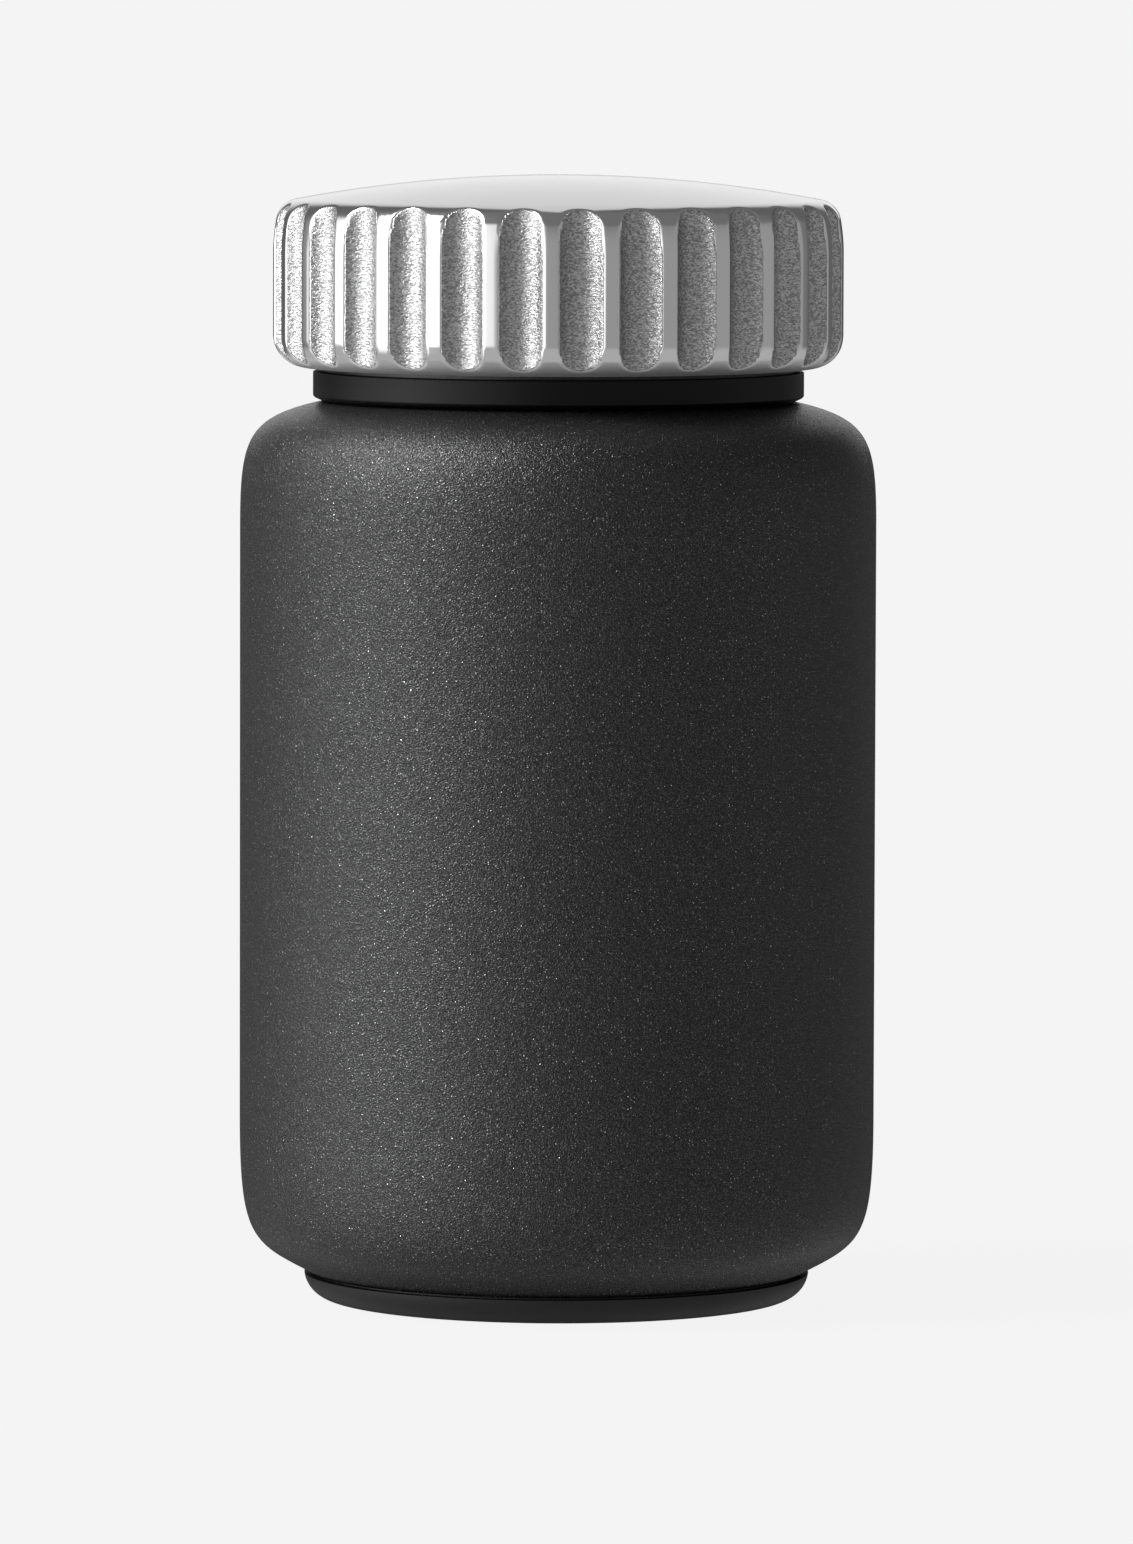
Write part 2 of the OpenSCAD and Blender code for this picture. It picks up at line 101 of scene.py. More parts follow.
def divided(points, spacing):
    """The same outline, with points added so that none are further apart than spacing."""
    made = [points[0]]
    for before, after in zip(points, points[1:]):
        steps = max(1, math.ceil(math.dist(before, after) / spacing))
        made += [between(before, after, i / steps) for i in range(1, steps + 1)]
    return made


def eased(points, radius, steps=4):
    """A closed outline with each of its corners rounded to about the radius given."""
    most = 0.45  # of a side's length, so that two corners never meet
    made = []
    for i, corner in enumerate(points):
        ends = []
        for beside in (points[i - 1], points[(i + 1) % len(points)]):
            length = math.dist(corner, beside)
            ends.append(between(corner, beside, min(radius / length, most)))
        made += bezier(ends[0], corner, corner, ends[1], steps)
    return made + made[:1]


# ---- Node trees ----

def set_inputs(tree, node, values):
    """Sets a node's input sockets, by name or number, to numbers or to other sockets."""
    for key, value in values.items():
        if isinstance(value, bpy.types.NodeSocket):
            tree.links.new(value, node.inputs[key])
        else:
            node.inputs[key].default_value = value


def add_node(tree, kind, values=(), **settings):
    """Adds a node. values are its inputs, as in set_inputs, and settings are its properties."""
    made = tree.nodes.new(kind)
    for name, value in settings.items():
        setattr(made, name, value)
    set_inputs(tree, made, dict(values))
    return made


def calc(tree, operation, *values):
    """Adds a Math node and returns its result."""
    return add_node(tree, "ShaderNodeMath", dict(enumerate(values)), operation=operation).outputs[0]


def blend(tree, share, first, second):
    """A number between two others. Sockets 0, 2 and 3 are the node's share and its two numbers."""
    return add_node(tree, "ShaderNodeMix", {0: share, 2: first, 3: second}).outputs[0]


def spread(tree, value, low, high, to_low=0.0, to_high=1.0):
    """Maps the range low to high on to another one, smoothly and with its ends held."""
    return add_node(
        tree, "ShaderNodeMapRange",
        {"Value": value, "From Min": low, "From Max": high, "To Min": to_low, "To Max": to_high},
        interpolation_type="SMOOTHSTEP").outputs[0]


# ---- Geometry node trees ----

def new_tree(name, **inputs):
    """A geometry node tree with named inputs. inputs maps each name to its type and its default."""
    tree = bpy.data.node_groups.new(name, "GeometryNodeTree")
    tree.interface.new_socket("Geometry", in_out="INPUT", socket_type="NodeSocketGeometry")
    for label, (kind, default) in inputs.items():
        socket = tree.interface.new_socket(label, in_out="INPUT", socket_type="NodeSocket" + kind)
        if default is not None:
            socket.default_value = default
    tree.interface.new_socket("Geometry", in_out="OUTPUT", socket_type="NodeSocketGeometry")
    return tree, tree.nodes.new("NodeGroupInput"), tree.nodes.new("NodeGroupOutput")


def end_tree(tree, source, target, geometry):
    """Shades the result, makes instances real and gives it the material."""
    smooth = add_node(tree, "GeometryNodeSetShadeSmooth", {"Geometry": geometry})
    bend = tree.nodes.new("GeometryNodeInputMeshEdgeAngle").outputs["Unsigned Angle"]
    crisp = calc(tree, "GREATER_THAN", bend, math.radians(SHARP))
    shaded = add_node(
        tree, "GeometryNodeSetShadeSmooth",
        {"Geometry": smooth.outputs[0], "Selection": crisp, "Shade Smooth": False}, domain="EDGE")
    real = add_node(tree, "GeometryNodeRealizeInstances", {"Geometry": shaded.outputs[0]})
    coated = add_node(
        tree, "GeometryNodeSetMaterial",
        {"Geometry": real.outputs[0], "Material": source.outputs["Material"]})
    tree.links.new(coated.outputs[0], target.inputs[0])
    return tree


def turned_grid(tree, source):
    """A grid with a row for each point of the outline.

    Returns it with each vertex's radius, angle and height."""
    outline, steps = source.outputs["Geometry"], source.outputs["Steps"]
    rows = add_node(tree, "GeometryNodeAttributeDomainSize", {"Geometry": outline})
    across = calc(tree, "ADD", steps, 1)
    grid = add_node(
        tree, "GeometryNodeMeshGrid", {"Vertices X": rows.outputs["Point Count"], "Vertices Y": across})
    index = tree.nodes.new("GeometryNodeInputIndex").outputs[0]
    row = calc(tree, "FLOOR", calc(tree, "DIVIDE", calc(tree, "ADD", index, 0.5), across))
    column = calc(tree, "SUBTRACT", index, calc(tree, "MULTIPLY", row, across))
    sample = add_node(
        tree, "GeometryNodeSampleIndex", {"Geometry": outline, "Index": row}, data_type="FLOAT_VECTOR")
    tree.links.new(tree.nodes.new("GeometryNodeInputPosition").outputs[0], sample.inputs["Value"])
    place = add_node(tree, "ShaderNodeSeparateXYZ", {0: sample.outputs[0]})
    angle = calc(tree, "MULTIPLY", calc(tree, "DIVIDE", column, steps), TURN)
    return grid.outputs["Mesh"], place.outputs["X"], angle, place.outputs["Z"]


def wrap_round(tree, grid, radius, angle, height):
    """Sets each vertex of the grid in its place round the axis, and closes the seam and the poles."""
    place = add_node(
        tree, "ShaderNodeCombineXYZ",
        {"X": calc(tree, "MULTIPLY", radius, calc(tree, "COSINE", angle)),
         "Y": calc(tree, "MULTIPLY", radius, calc(tree, "SINE", angle)),
         "Z": height})
    moved = add_node(tree, "GeometryNodeSetPosition", {"Geometry": grid, "Position": place.outputs[0]})
    closed = add_node(
        tree, "GeometryNodeMergeByDistance", {"Geometry": moved.outputs[0], "Distance": WELD})
    return closed.outputs[0]


def turned_tree():
    """Turns an outline round the axis."""
    tree, source, target = new_tree(
        "turned", Steps=("Int", SMOOTH_STEPS), Material=("Material", None))
    grid, radius, angle, height = turned_grid(tree, source)
    return end_tree(tree, source, target, wrap_round(tree, grid, radius, angle, height))


def fluted_tree():
    """Turns an outline round the axis and sinks round-bottomed flutes in it, with eased edges.

    The flutes are cut by cylinders of radius Cutter, whose axes stand at Offset from the mill's. The
    float attribute grain is 0 on the lands and 1 down in the flutes."""
    grain_starts, grain_full = 0.08 * MM, 0.26 * MM
    tree, source, target = new_tree(
        "fluted", Steps=("Int", SMOOTH_STEPS), Flutes=("Int", 30), First=("Float", 0.0),
        Cutter=("Float", 2.5 * MM), Offset=("Float", 30 * MM), Easing=("Float", 0.5 * MM),
        Material=("Material", None))
    grid, radius, angle, height = turned_grid(tree, source)
    half_pitch = calc(tree, "DIVIDE", math.pi, source.outputs["Flutes"])
    aside = calc(
        tree, "WRAP", calc(tree, "SUBTRACT", angle, source.outputs["First"]),
        half_pitch, calc(tree, "MULTIPLY", half_pitch, -1))
    offset, cutter = source.outputs["Offset"], source.outputs["Cutter"]
    sideways = calc(tree, "MULTIPLY", offset, calc(tree, "SINE", aside))
    outwards = calc(tree, "MULTIPLY", offset, calc(tree, "COSINE", aside))
    chord = calc(
        tree, "SUBTRACT",
        calc(tree, "MULTIPLY", cutter, cutter), calc(tree, "MULTIPLY", sideways, sideways))
    wall = calc(tree, "SUBTRACT", outwards, calc(tree, "SQRT", calc(tree, "MAXIMUM", chord, 0.0)))
    cut = calc(tree, "SMOOTH_MIN", radius, wall, source.outputs["Easing"])
    grain = spread(tree, calc(tree, "SUBTRACT", radius, cut), grain_starts, grain_full)
    marked = add_node(
        tree, "GeometryNodeStoreNamedAttribute",
        {"Geometry": grid, "Name": "grain", "Value": grain}, data_type="FLOAT", domain="POINT")
    return end_tree(
        tree, source, target, wrap_round(tree, marked.outputs[0], cut, angle, height))


def coil_tree():
    """Sweeps a round wire along a coil that climbs the axis, turning anticlockwise as it climbs."""
    tree, source, target = new_tree(
        "coil", Turns=("Float", 3.0), Radius=("Float", 6 * MM), Wire=("Float", 0.35 * MM),
        Low=("Float", 0.0), Rise=("Float", 4 * MM), Material=("Material", None))
    radius = source.outputs["Radius"]
    path = add_node(
        tree, "GeometryNodeCurveSpiral",
        {"Resolution": COIL_STEPS, "Rotations": source.outputs["Turns"], "Start Radius": radius,
         "End Radius": radius, "Height": source.outputs["Rise"], "Reverse": True})
    wire = add_node(
        tree, "GeometryNodeCurvePrimitiveCircle",
        {"Resolution": WIRE_STEPS, "Radius": source.outputs["Wire"]})
    swept = add_node(
        tree, "GeometryNodeCurveToMesh",
        {"Curve": path.outputs[0], "Profile Curve": wire.outputs[0], "Fill Caps": True})
    base = add_node(tree, "ShaderNodeCombineXYZ", {"Z": source.outputs["Low"]})
    lifted = add_node(
        tree, "GeometryNodeTransform",
        {"Geometry": swept.outputs[0], "Translation": base.outputs[0]})
    return end_tree(tree, source, target, lifted.outputs[0])


def outline_object(name, points):
    """An object whose mesh is the outline, in the plane of the axis."""
    mesh = bpy.data.meshes.new(name)
    edges = [(i, i + 1) for i in range(len(points) - 1)]
    mesh.from_pydata([(r, 0, z) for r, z in points], edges, [])
    made = bpy.data.objects.new(name, mesh)
    bpy.context.scene.collection.objects.link(made)
    return made


def grow(piece, tree, **values):
    """Runs a geometry node tree on the piece and keeps its result as a plain mesh."""
    modifier = piece.modifiers.new("shape", "NODES")
    modifier.node_group = tree
    sockets = {s.name: s.identifier for s in tree.interface.items_tree if s.in_out == "INPUT"}
    for label, value in values.items():
        modifier[sockets[label]] = value
    bpy.context.view_layer.update()
    graph = bpy.context.evaluated_depsgraph_get()
    mesh = bpy.data.meshes.new_from_object(
        piece.evaluated_get(graph), preserve_all_data_layers=True, depsgraph=graph)
    piece.modifiers.clear()
    mesh.name = piece.name
    piece.data = mesh
    shape = bmesh.new()
    shape.from_mesh(mesh)
    bmesh.ops.recalc_face_normals(shape, faces=shape.faces)
    shape.to_mesh(mesh)
    shape.free()


def stand_for(piece, node, body):
    """Attaches a finished piece to its body and hides the CAD node that it stands for."""
    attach(piece, body)
    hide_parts(node)


# ---- Finishes ----

def new_finish(name):
    """A material with a Principled shader. Returns it with its tree, shader and Object coordinates."""
    made = bpy.data.materials.new(name)
    made.use_nodes = True
    tree = made.node_tree
    tree.nodes.clear()
    shader = tree.nodes.new("ShaderNodeBsdfPrincipled")
    output = add_node(tree, "ShaderNodeOutputMaterial", {"Surface": shader.outputs[0]})
    output.is_active_output = True
    place = tree.nodes.new("ShaderNodeTexCoord").outputs["Object"]
    return made, tree, shader, place


def noise(tree, place, size, detail=2.0, distortion=0.0):
    """Noise whose features are about as large as size, in metres."""
    return add_node(
        tree, "ShaderNodeTexNoise",
        {"Vector": place, "Scale": 1 / size, "Detail": detail, "Distortion": distortion},
    ).outputs["Fac"]


def scaled(tree, place, scale):
    """The place with each of its axes scaled. A pattern on it is drawn out where the scale is small."""
    return add_node(tree, "ShaderNodeMapping", {"Vector": place, "Scale": scale}).outputs[0]


def shade_between(tree, share, first, second):
    """A colour between two others, each of them a socket or three numbers."""
    mixed = add_node(tree, "ShaderNodeMix", {"Factor": share}, data_type="RGBA")
    for key, colour in (("A", first), ("B", second)):
        socket = next(s for s in mixed.inputs if s.name == key and s.type == "RGBA")
        if isinstance(colour, bpy.types.NodeSocket):
            tree.links.new(colour, socket)
        else:
            socket.default_value = (*colour, 1)
    return next(s for s in mixed.outputs if s.type == "RGBA")


def relief(tree, height, depth, under=None):
    """Raises the surface by height, a 0 to 1 value, times depth in metres."""
    values = {"Height": height, "Distance": depth}
    if under is not None:
        values["Normal"] = under
    return add_node(tree, "ShaderNodeBump", values).outputs[0]


def flecks(tree, place, spacing, radius):
    """Small round spots, one in each cell. Returns where they are and a random number for each."""
    cells = add_node(tree, "ShaderNodeTexVoronoi", {"Vector": place, "Scale": 1 / spacing})
    core = 0.55 * radius
    spot = spread(tree, cells.outputs["Distance"], radius / spacing, core / spacing)
    chance = add_node(tree, "ShaderNodeSeparateColor", {0: cells.outputs["Color"]})
    return spot, chance.outputs[0]


def powder_coat():
    """Near-black powder coat: a fine, sharp tooth with bright metallic grains and flecks in it."""
    made, tree, shader, place = new_finish("powder_coat")
    hollow_painted_shade_black, raised_black = (0.008, 0.008, 0.0083), (0.014, 0.014, 0.0144)
    grain_grey, fleck_white = (0.12, 0.12, 0.122), (0.90, 0.90, 0.90)
    faintness = 3.0
    tooth = noise(tree, place, 0.16 * MM, 1.0)
    swell = noise(tree, place, 1.6 * MM, 1.0)
    grains = spread(tree, noise(tree, place, 0.13 * MM, 1.0), 0.48, 0.66)
    spot, chance = flecks(tree, place, spacing=0.33 * MM, radius=0.066 * MM)
    bright = calc(tree, "MULTIPLY", spot, calc(tree, "POWER", chance, faintness))
    # Painted shade: the coat is a little darker down in the tooth's hollows than on its raised parts
    ground = shade_between(tree, spread(tree, tooth, 0.35, 0.65), hollow_painted_shade_black, raised_black)
    grainy = shade_between(tree, grains, ground, grain_grey)
    set_inputs(tree, shader, {
        "Base Color": shade_between(tree, bright, grainy, fleck_white),
        "Metallic": calc(tree, "MAXIMUM", grains, bright),
        "Specular IOR Level": 0.35,
        "Roughness": spread(tree, tooth, 0.3, 0.7, to_low=0.32, to_high=0.25),
        "Normal": relief(tree, swell, 0.012 * MM, relief(tree, tooth, 0.12 * MM)),
    })
    return made


def cast_metal(lower_edge):
    """Cast light metal, polished where the attribute grain is 0 and left coarse in the flutes.

    The polish ends just above the height of the lower edge, where the metal is left dull."""
    made, tree, shader, place = new_finish("cast_metal")
    polished, polished_light = (0.85, 0.85, 0.85), (0.90, 0.90, 0.90)
    coarse_dark_and_painted_shade, coarse_light = (0.31, 0.31, 0.31), (0.68, 0.68, 0.68)
    dull_roughness, coarse_roughness = 0.55, 0.33

    # Where the metal is coarse, with a ragged edge round each flute
    grain = add_node(tree, "ShaderNodeAttribute", attribute_name="grain").outputs["Fac"]
    wander = calc(tree, "SUBTRACT", noise(tree, place, 0.5 * MM, 2.0), 0.5)
    edge = calc(tree, "ADD", grain, calc(tree, "MULTIPLY", wander, 0.5))
    coarse = calc(tree, "MULTIPLY", spread(tree, edge, 0.35, 0.65), spread(tree, grain, 0.0, 0.2))

    # Crumpled ridges with pits in them, and hairlines that run along the axis
    squashed = scaled(tree, place, (1, 1, 1.9))
    crumple = noise(tree, squashed, 0.32 * MM, 2.0, 0.8)
    pits = noise(tree, squashed, 0.2 * MM, 1.0)
    ridges = calc(
        tree, "ADD", calc(tree, "MULTIPLY", crumple, 0.75), calc(tree, "MULTIPLY", pits, 0.25))
    hairline = noise(tree, scaled(tree, place, (1, 1, 0.12)), 0.12 * MM, 2.0)

    handled = noise(tree, place, 7 * MM, 3.0)
    bright = shade_between(tree, handled, polished, polished_light)
    # The coarse metal is partly its own dull grey and partly painted shade: darker down in the
    # crumples' hollows and kept dim for the shadowing in the rough cast
    dull = shade_between(tree, spread(tree, crumple, 0.38, 0.62), coarse_dark_and_painted_shade, coarse_light)
    polish = spread(tree, hairline, 0.3, 0.7, to_low=0.12, to_high=0.17)
    height = add_node(tree, "ShaderNodeSeparateXYZ", {0: place}).outputs["Z"]
    unpolished = spread(tree, height, lower_edge + 1.9 * MM, lower_edge + 1.1 * MM)
    land = blend(tree, unpolished, polish, dull_roughness)
    set_inputs(tree, shader, {
        "Base Color": shade_between(tree, coarse, bright, dull),
        "Metallic": 1.0,
        "Roughness": blend(tree, coarse, land, coarse_roughness),
        "Normal": relief(
            tree, calc(tree, "MULTIPLY", ridges, coarse), 0.14 * MM,
            relief(tree, hairline, 0.0005 * MM)),
    })
    return made


def moulded(name, colour, roughness, gloss=0.5, grain_size=0.12 * MM, depth=0.004 * MM):
    """Moulded plastic or rubber with a fine spark-eroded grain and a faint cloud in its colour."""
    made, tree, shader, place = new_finish(name)
    grain = noise(tree, place, grain_size, 2.0)
    cloud = noise(tree, place, 9 * MM, 2.0)
    lighter = tuple(c * 1.25 for c in colour)
    change = 0.05
    set_inputs(tree, shader, {
        "Base Color": shade_between(tree, cloud, colour, lighter),
        "Specular IOR Level": gloss,
        "Roughness": spread(tree, grain, 0.3, 0.7, roughness + change, roughness - change),
        "Normal": relief(tree, grain, depth),
    })
    return made


def bare_metal(name, colour, roughness, stretch, depth):
    """Bare metal with fine lines, which run along the axis that stretch is smallest on."""
    made, tree, shader, place = new_finish(name)
    lines = noise(tree, scaled(tree, place, stretch), 0.10 * MM, 3.0)
    cloud = noise(tree, place, 4 * MM, 2.0)
    darker = tuple(c * 0.82 for c in colour)
    smoother, rougher = roughness - 0.06, roughness + 0.08
    set_inputs(tree, shader, {
        "Base Color": shade_between(tree, cloud, darker, colour),
        "Metallic": 1.0,
        "Roughness": spread(tree, lines, 0.3, 0.7, smoother, rougher),
        "Normal": relief(tree, lines, depth),
    })
    return made


def fired_ceramic():
    """Unglazed white ceramic with fine pores."""
    made, tree, shader, place = new_finish("fired_ceramic")
    ivory, white = (0.78, 0.76, 0.71), (0.86, 0.85, 0.81)
    pores = noise(tree, place, 0.15 * MM, 3.0)
    cloud = noise(tree, place, 3 * MM, 2.0)
    set_inputs(tree, shader, {
        "Base Color": shade_between(tree, cloud, ivory, white),
        "Roughness": spread(tree, pores, 0.3, 0.7, to_low=0.42, to_high=0.55),
        "Normal": relief(tree, pores, 0.008 * MM),
    })
    return made


# ---- Pieces ----

def reach(node):
    """Outer radius, lowest height and highest height of a CAD node."""
    low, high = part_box(node)
    return max(high.x, high.y, -low.x, -low.y), low.z, high.z


body_r, seat_z, rim_z = reach("body_shell")
neck_r, neck_low, neck_z = reach("neck_ring")
foot_r, foot_low, foot_top = reach("foot_ring")
head_r, head_z, crown_z = reach("grip_head")

COAT = powder_coat()
CAST = cast_metal(head_z)
SATIN = moulded("satin_black", (0.002, 0.002, 0.00205), 0.34, gloss=0.2)
FOOT = moulded("foot_rubber", (0.007, 0.007, 0.0071), 0.5, gloss=0.4)
WIRE = bare_metal("drawn_wire", (0.60, 0.60, 0.61), 0.24, stretch=(0.05, 1, 1), depth=0.001 * MM)
TURNED = turned_tree()
FLUTED = fluted_tree()
COIL = coil_tree()


def grip_head():
    """Fluted head: polished dome, crown and lands, coarse flutes, hollow underneath."""
    # The side bows out a little, leans in towards the top and meets the dome in a small crown
    bow_r, lean = 20 * MM, 10
    crown_r, crown_end = 2.6 * MM, 79.5
    corner_r = 3.4 * MM
    bow_centre = (head_r - bow_r, crown_z - 8.1 * MM)
    crown_centre = beyond(beyond(bow_centre, bow_r, lean), -crown_r, lean)
    dome_edge = beyond(crown_centre, crown_r, crown_end)
    rise = crown_z - dome_edge[1]
    dome_r = (dome_edge[0] ** 2 + rise ** 2) / (2 * rise)
    dome_slope = math.degrees(math.asin(dome_edge[0] / dome_r))
    outside = (
        arc((0, crown_z - dome_r), dome_r, 90, 90 - dome_slope, 16)
        + arc(crown_centre, crown_r, crown_end, lean, 22)[1:]
        + arc(bow_centre, bow_r, lean, 0, 6)[1:]
        + arc((head_r - corner_r, head_z + corner_r), corner_r, 0, -90, 24))

    # The hollow is as wide as the insert, and narrows at its top
    hollow_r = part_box("head_insert")[1].x
    hollow_top = crown_z - 4.8 * MM
    taper_w, taper_h = 5 * MM, 3.4 * MM
    inside = [
        (hollow_r, head_z), (hollow_r, hollow_top - taper_h), (hollow_r - taper_w, hollow_top),
        (0, hollow_top)]

    flutes, first_flute = 30, 10.5
    cutter_r, cutter_out = 2.55 * MM, 1.05 * MM
    piece = outline_object("grip_head_cast", outside + inside)
    grow(
        piece, FLUTED, Steps=flutes * COLUMNS_PER_FLUTE, Flutes=flutes,
        First=math.radians(first_flute), Cutter=cutter_r, Offset=head_r + cutter_out,
        Easing=0.5 * MM, Material=CAST)
    stand_for(piece, "grip_head", "head")


def body_shell():
    """Powder coated shell: a straight side, corners that tighten gently and a collar at each end."""
    side_low, side_high = seat_z + 16.1 * MM, rim_z - 13.3 * MM

    # Each corner leaves its edge at an angle and runs into the straight side
    foot_edge, foot_angle = (25.65 * MM, seat_z), 29
    neck_edge, neck_angle = (24.35 * MM, rim_z), -12
    low_corner = bezier(
        foot_edge, beyond(foot_edge, 6.75 * MM, foot_angle),
        (body_r, seat_z + 2.64 * MM), (body_r, side_low), 40)
    high_corner = bezier(
        (body_r, side_high), (body_r, rim_z - 3.8 * MM),
        beyond(neck_edge, 8.25 * MM, neck_angle), neck_edge, 36)

    # The same corners inside, where the wall is thinner than at the collars
    inner_r = body_r - 2 * MM
    inner_foot, inner_neck = (26.2 * MM, seat_z + 2.9 * MM), (24.8 * MM, rim_z - 2.35 * MM)
    high_inside = bezier(
        inner_neck, beyond(inner_neck, 6 * MM, neck_angle),
        (inner_r, rim_z - 5.8 * MM), (inner_r, side_high), 16)
    low_inside = bezier(
        (inner_r, side_low), (inner_r, seat_z + 5.3 * MM),
        beyond(inner_foot, 4.6 * MM, foot_angle), inner_foot, 16)

    low_bore, low_collar = 24.4 * MM, seat_z + 6.1 * MM
    high_bore, high_collar = 23 * MM, rim_z - 6.3 * MM
    points = (
        [(low_bore, seat_z)] + low_corner + high_corner
        + [(high_bore, rim_z), (high_bore, high_collar), (inner_neck[0], high_collar)]
        + high_inside + low_inside
        + [(inner_foot[0], low_collar), (low_bore, low_collar), (low_bore, seat_z)])
    piece = outline_object("body_shell_coated", divided(points, 3 * MM))
    grow(piece, TURNED, Steps=SMOOTH_STEPS, Material=COAT)
    stand_for(piece, "body_shell", "root")


def neck_ring():
    """Black ring that the head turns on, with a fine edge and a stepped underside."""
    ledge, bore, barrel = 19.6 * MM, 21 * MM, 23 * MM
    ledge_top = neck_low + 2 * MM
    outline = [
        (ledge, neck_low), (barrel, neck_low), (barrel, rim_z), (neck_r - 1.1 * MM, rim_z),
        (neck_r - 0.2 * MM, rim_z + 0.4 * MM), (neck_r, rim_z + 0.6 * MM), (neck_r, neck_z),
        (bore, neck_z), (bore, ledge_top), (ledge, ledge_top)]
    piece = outline_object("neck_ring_turned", divided(eased(outline, 0.22 * MM), 2 * MM))
    grow(piece, TURNED, Steps=SMOOTH_STEPS, Material=SATIN)
    stand_for(piece, "neck_ring", "root")


def foot_ring():
    """Rubber foot: rounded outside and flat underneath, with a lip that fits in the body."""
    round_r = 3 * MM
    lip_r, lip_z = foot_r - 1.07 * MM, foot_low + 1.5 * MM
    inner_r, bevel = 21.6 * MM, 0.2 * MM
    top_angle = math.degrees(math.asin((foot_top - foot_low - round_r) / round_r))
    outline = (
        [(inner_r + bevel, foot_low)]
        + arc((foot_r - round_r, foot_low + round_r), round_r, -90, top_angle, 20)
        + [(lip_r, foot_top), (lip_r, lip_z), (inner_r, lip_z)]
        + [(inner_r, foot_low + bevel), (inner_r + bevel, foot_low)])
    piece = outline_object("foot_ring_moulded", divided(outline, 2 * MM))
    grow(piece, TURNED, Steps=SMOOTH_STEPS, Material=FOOT)
    stand_for(piece, "foot_ring", "root")


def rotor_spring():
    """Coil spring between the hub and the fixed washer. The real one shortens as the burr cone is
    raised; this one keeps its rest length.
    """
    low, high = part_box("rotor_spring")
    height = high.z - low.z
    coil_r, wire_r, clearance = 5.9 * MM, 0.345 * MM, 0.005 * MM
    end = wire_r + clearance
    piece = outline_object("rotor_spring_wire", [])
    grow(
        piece, COIL, Turns=3.0, Radius=coil_r, Wire=wire_r, Low=low.z + end, Rise=height - 2 * end,
        Material=WIRE)
    stand_for(piece, "rotor_spring", "root")
    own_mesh(piece)


for make_piece in (grip_head, body_shell, neck_ring, foot_ring, rotor_spring):
    make_piece()

CAD_FINISHES = {
    "head_insert": moulded("insert_plastic", (0.026, 0.026, 0.027), 0.42),
    "base_carrier": moulded("base_plastic", (0.016, 0.016, 0.0165), 0.45),
    "insert_screws": bare_metal(
        "zinc_plate", (0.66, 0.67, 0.70), 0.26, stretch=(1, 1, 1), depth=0.001 * MM),
    "socket_spring": WIRE,
    "head_seal": moulded("seal_rubber", (0.02, 0.02, 0.02), 0.35),
    # Painted shade: the slip ring is near-black so that the gap between the head and the neck ring
    # stays dark
    "slip_ring": moulded("slip_plastic", (0.006, 0.006, 0.0061), 0.3),
    "hopper_liner": moulded("liner_plastic", (0.62, 0.64, 0.66), 0.22),
    "grinder_housing": moulded(
        "filled_plastic", (0.030, 0.030, 0.033), 0.48, grain_size=0.2 * MM, depth=0.008 * MM),
    "bearing_bush": bare_metal(
        "turned_brass", (0.76, 0.58, 0.28), 0.24, stretch=(1, 1, 6), depth=0.002 * MM),
    "burr_ring": fired_ceramic(),
    "adjuster_knob": moulded("knob_plastic", (0.20, 0.205, 0.215), 0.42),
    "drive_shaft": bare_metal(
        "extruded_bar", (0.78, 0.79, 0.80), 0.30, stretch=(1, 1, 0.03), depth=0.0015 * MM),
}
SAME_FINISH = {
    "housing_screws": "insert_screws", "thrust_ball": "insert_screws", "rotor_cap": "insert_screws",
    "spring_washer": "socket_spring", "shaft_clip": "socket_spring",
    "outlet_bridge": "grinder_housing", "rotor_hub": "grinder_housing", "burr_cone": "burr_ring",
}
CAD_FINISHES.update({node: CAD_FINISHES[like] for node, like in SAME_FINISH.items()})
for node, finish in CAD_FINISHES.items():
    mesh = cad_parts[node].data
    mesh.materials.clear()
    mesh.materials.append(finish)


# ---- Stage, light and camera ----

PALE = 0.905
WHITE = (1, 1, 1, 1)


def pale_floor():
    """A round, pale, nearly even floor that can be seen through from below.

    It glows, and takes only a little of the light. It lights nothing and isn't reflected."""
    radius, steps = 0.75, 96
    paper_grey = (0.02, 0.02, 0.02, 1)
    paper_share = 0.022
    mesh = bpy.data.meshes.new("floor")
    rim = [(x, y, 0) for x, y in arc((0, 0), radius, 0, 360, steps)[:-1]]
    mesh.from_pydata(rim, [], [list(range(steps))])
    floor = bpy.data.objects.new("floor", mesh)
    bpy.context.scene.collection.objects.link(floor)
    floor.visible_glossy = False
    floor.visible_diffuse = False
    floor.visible_shadow = False
    made = bpy.data.materials.new("pale_floor")
    made.use_nodes = True
    tree = made.node_tree
    tree.nodes.clear()
    paper = add_node(tree, "ShaderNodeBsdfDiffuse", {"Color": paper_grey})
    glow = add_node(
        tree, "ShaderNodeEmission", {"Color": WHITE, "Strength": PALE - paper_share})
    lit = add_node(tree, "ShaderNodeAddShader", {0: paper.outputs[0], 1: glow.outputs[0]})
    clear = tree.nodes.new("ShaderNodeBsdfTransparent")
    below = tree.nodes.new("ShaderNodeNewGeometry").outputs["Backfacing"]
    mixed = add_node(
        tree, "ShaderNodeMixShader", {0: below, 1: lit.outputs[0], 2: clear.outputs[0]})
    add_node(tree, "ShaderNodeOutputMaterial", {"Surface": mixed.outputs[0]})
    mesh.materials.append(made)


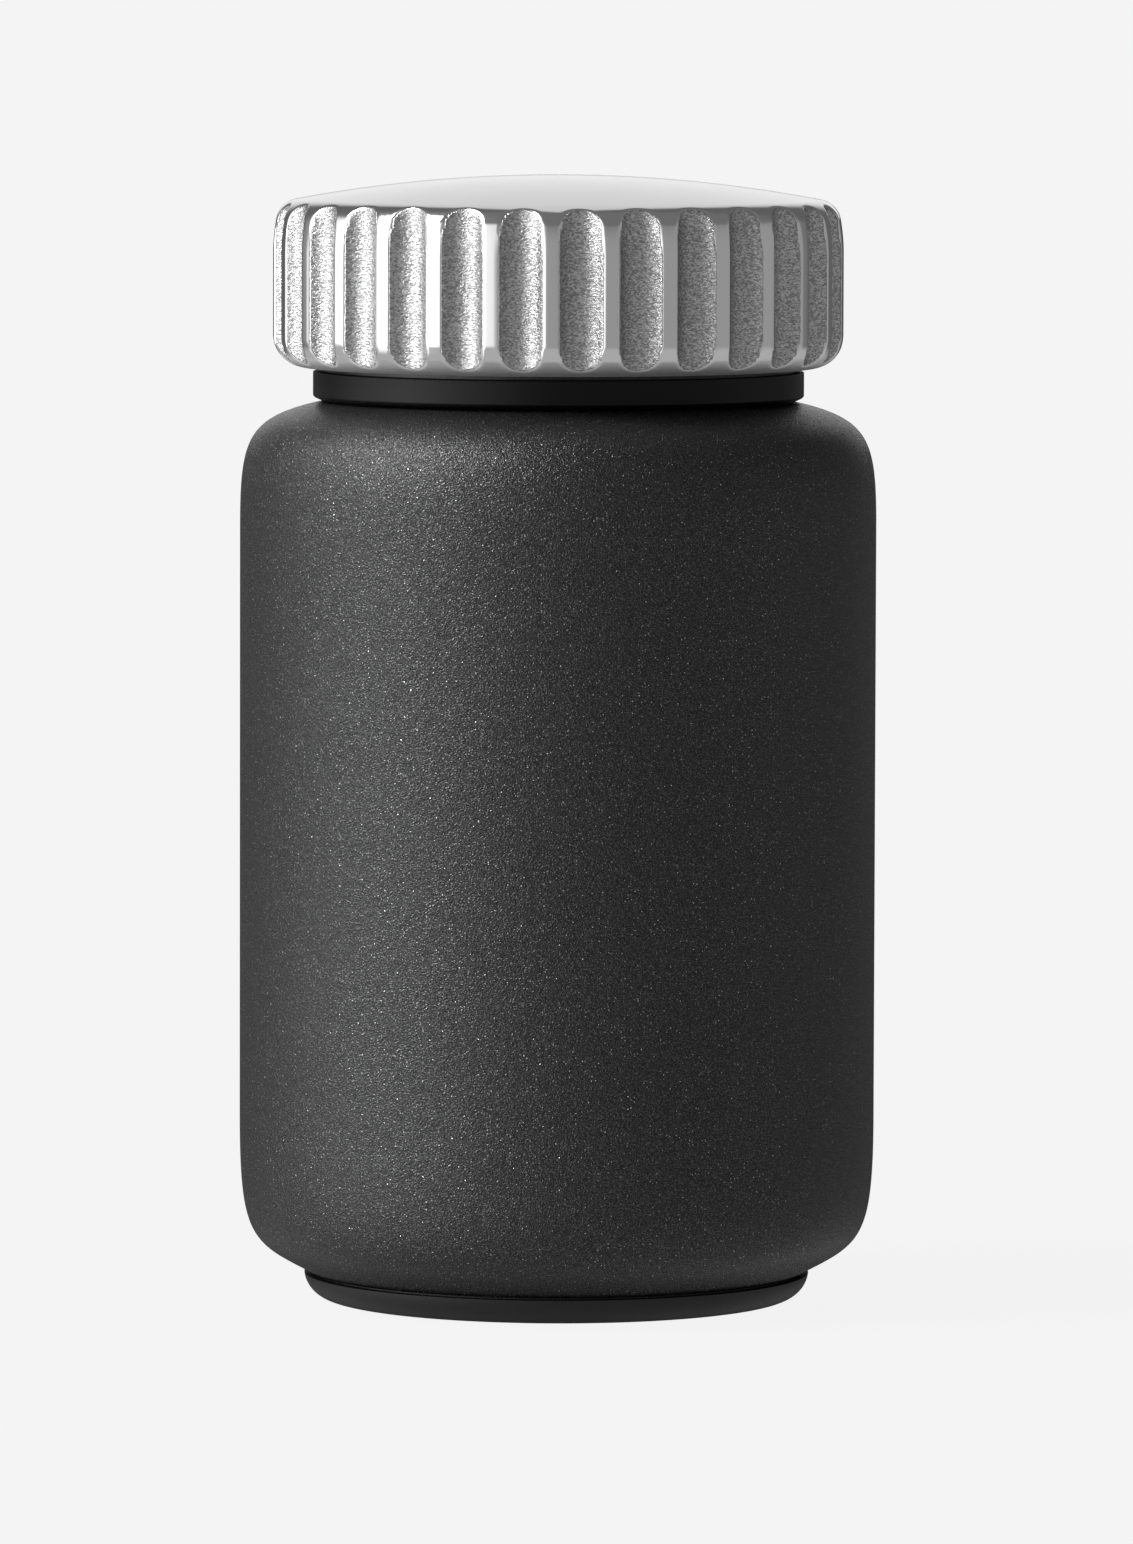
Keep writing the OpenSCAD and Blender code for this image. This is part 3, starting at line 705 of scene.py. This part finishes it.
def step_up(tree, value, middle, softness):
    """0 below the middle and 1 above it, in degrees, with a soft step between."""
    return spread(
        tree, value, math.radians(middle - softness), math.radians(middle + softness))


def window(tree, value, low, high, softness):
    """1 between two angles and 0 outside them, in degrees, with soft edges."""
    return calc(
        tree, "MULTIPLY", step_up(tree, value, low, softness),
        calc(tree, "SUBTRACT", 1.0, step_up(tree, value, high, softness)))


def studio_room(tree, azimuth, elevation):
    """A grey room: light underfoot, dim overhead and dark towards the back of its sides.

    Behind the mill is a white wall with a dark foot."""
    aside = calc(tree, "ABSOLUTE", azimuth)
    light_floor, dark_side = 0.44, 0.12
    front = blend(tree, step_up(tree, elevation, middle=17, softness=9), 0.32, 0.16)
    sides = blend(tree, step_up(tree, aside, middle=114, softness=16), front, dark_side)
    room = blend(tree, step_up(tree, elevation, middle=-16, softness=6), light_floor, sides)
    white = blend(tree, step_up(tree, elevation, middle=12, softness=14), 0.95, 0.66)
    right = step_up(tree, azimuth, middle=0, softness=40)
    dark_foot = blend(tree, calc(tree, "SUBTRACT", 1.0, right), 0.05, 0.07)
    back = blend(tree, step_up(tree, elevation, middle=2.2, softness=0.6), dark_foot, white)
    return blend(tree, step_up(tree, aside, middle=162, softness=9), room, back)


def softbox(tree, azimuth, elevation):
    """A tall softbox on the left, brightest at its top, with a dim, wide skirt round its lower part."""
    skirt_glow = 1.7
    panel_glow = blend(tree, step_up(tree, elevation, middle=34, softness=16), 0.7, 43.0)
    skirt = calc(
        tree, "MULTIPLY", window(tree, azimuth, low=-104, high=-32, softness=30),
        window(tree, elevation, low=-12, high=28, softness=6))
    panel = calc(
        tree, "MULTIPLY", window(tree, azimuth, low=-86, high=-62, softness=8),
        window(tree, elevation, low=-30, high=49, softness=7))
    return calc(
        tree, "ADD", calc(tree, "MULTIPLY", skirt, skirt_glow),
        calc(tree, "MULTIPLY", panel, panel_glow))


def studio():
    """Soft light from all round, and an even, pale backdrop.

    Angles are in degrees. Azimuth 0 is in front of the mill, and 90 is to its right."""
    world = bpy.data.worlds.new("studio")
    world.use_nodes = True
    tree = world.node_tree
    tree.nodes.clear()
    way = add_node(
        tree, "ShaderNodeSeparateXYZ",
        {0: tree.nodes.new("ShaderNodeTexCoord").outputs["Generated"]})
    forwards = calc(tree, "MULTIPLY", way.outputs["Y"], -1)
    azimuth = calc(tree, "ARCTAN2", way.outputs["X"], forwards)
    elevation = calc(tree, "ARCSINE", way.outputs["Z"])
    radiance = calc(
        tree, "ADD", studio_room(tree, azimuth, elevation), softbox(tree, azimuth, elevation))
    lights = add_node(tree, "ShaderNodeBackground", {"Color": WHITE, "Strength": radiance})
    backdrop = add_node(tree, "ShaderNodeBackground", {"Color": WHITE, "Strength": PALE})
    seen = tree.nodes.new("ShaderNodeLightPath").outputs["Is Camera Ray"]
    mixed = add_node(
        tree, "ShaderNodeMixShader", {0: seen, 1: lights.outputs[0], 2: backdrop.outputs[0]})
    add_node(tree, "ShaderNodeOutputWorld", {"Surface": mixed.outputs[0]})
    bpy.context.scene.world = world


def camera():
    """A long lens, a little above the mill and looking down on it by a few degrees."""
    distance, pitch, roll = 1.191, math.radians(4.25), math.radians(-0.15)
    aim = Vector((0.0007, 0, 0.0548))
    picture_height = 0.16046
    data = bpy.data.cameras.new("camera")
    data.sensor_width = 36
    data.lens = data.sensor_width * distance / picture_height
    data.clip_start, data.clip_end = 0.05, 50
    made = bpy.data.objects.new("camera", data)
    made.location = aim + Vector((0, -math.cos(pitch), math.sin(pitch))) * distance
    made.rotation_euler = (math.pi / 2 - pitch, roll, 0)
    bpy.context.scene.collection.objects.link(made)
    bpy.context.scene.camera = made


pale_floor()
studio()
camera()
bpy.context.scene.view_settings.view_transform = "Standard"
